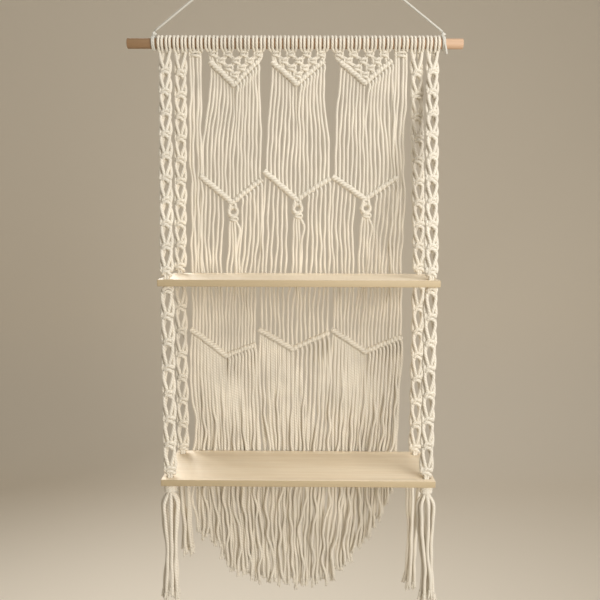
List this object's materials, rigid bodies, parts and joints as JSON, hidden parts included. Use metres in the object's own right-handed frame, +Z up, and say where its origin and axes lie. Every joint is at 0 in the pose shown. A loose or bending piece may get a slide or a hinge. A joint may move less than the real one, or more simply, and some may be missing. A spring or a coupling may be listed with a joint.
{
  "type": "macrame wall shelf with rod, hanging cord and wall peg",
  "caption": "Knotted cotton wall shelf: wooden boards on cord chains hung from a round rod, with a fringed macrame hanging behind them.",
  "frame": {"origin": "on the wall plane, at the middle of the back of the wall peg that the cord hangs on", "axes": "+Z up, +X to the right seen from the front, -Y out of the wall towards the viewer"},
  "size_m": [0.582, 0.165, 1.213],
  "materials": {
    "cotton": "matt twisted cotton cord",
    "tassel_cotton": "matt twisted cotton cord, loose ends",
    "hanging_cord": "matt smooth cord",
    "board_wood": "planed pale softwood",
    "rod_wood": "sanded round rod",
    "peg_metal": "satin"
  },
  "bodies": {
    "root": {"rod": "rod_wood", "upper_shelf": "board_wood", "lower_shelf": "board_wood", "wall_peg": "peg_metal", "hanging_cord": "hanging_cord", "hanger_tie_left": "hanging_cord", "hanger_tie_right": "hanging_cord", "macrame_panel": "cotton", "chain_front_left_upper": "cotton", "chain_front_left_lower": "cotton", "chain_back_left_upper": "cotton", "chain_back_left_lower": "cotton", "chain_back_right_upper": "cotton", "chain_back_right_lower": "cotton", "chain_front_right_upper": "cotton", "chain_front_right_lower": "cotton", "tassel_front_left": "tassel_cotton", "tassel_front_right": "tassel_cotton", "tassel_back_left": "tassel_cotton", "tassel_back_right": "tassel_cotton"}
  },
  "joints": []
}
